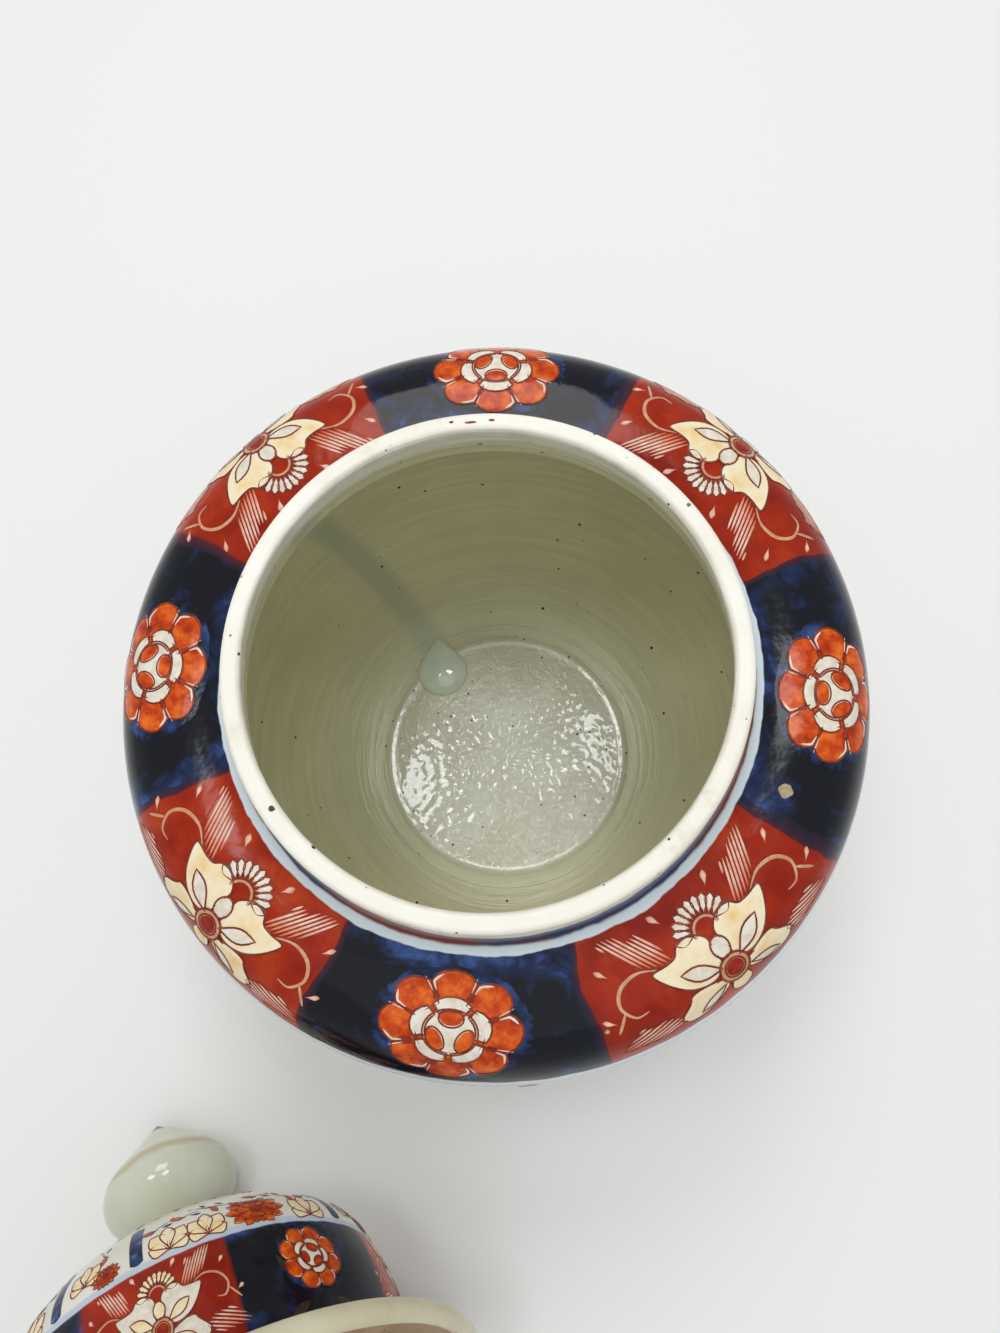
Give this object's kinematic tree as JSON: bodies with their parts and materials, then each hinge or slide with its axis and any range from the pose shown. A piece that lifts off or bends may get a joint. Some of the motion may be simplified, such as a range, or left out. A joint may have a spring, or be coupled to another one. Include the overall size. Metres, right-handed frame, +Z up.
{
  "type": "ginger jar",
  "caption": "Open porcelain ginger jar with painted panels, and its domed cover with an onion finial lying beside it.",
  "frame": {"origin": "on the table, under the middle of the box around the jar and the cover lying beside it", "axes": "+Z up out of the jar's mouth; +Y from the cover towards the jar; +X to the right of the jar seen from the cover's side"},
  "size_m": [0.2628, 0.3276, 0.1484],
  "materials": {
    "painted_porcelain": "glossy clear glaze over cobalt blue, with iron-red and cream overglaze enamels; bare cream clay at the rim",
    "cover_porcelain": "glossy glaze with the same panels, cream flange, bare clay under the flange",
    "finial_glaze": "glossy grey-green celadon glaze"
  },
  "bodies": {
    "jar": {"jar_body": "painted_porcelain"},
    "lid": {"lid_cover": "cover_porcelain", "lid_finial": "finial_glaze"}
  },
  "joints": [
    {"name": "lid_lift", "type": "slide", "parent": "jar", "child": "lid", "axis": [0, 0, 1], "range_m": [0, 0.2]}
  ]
}
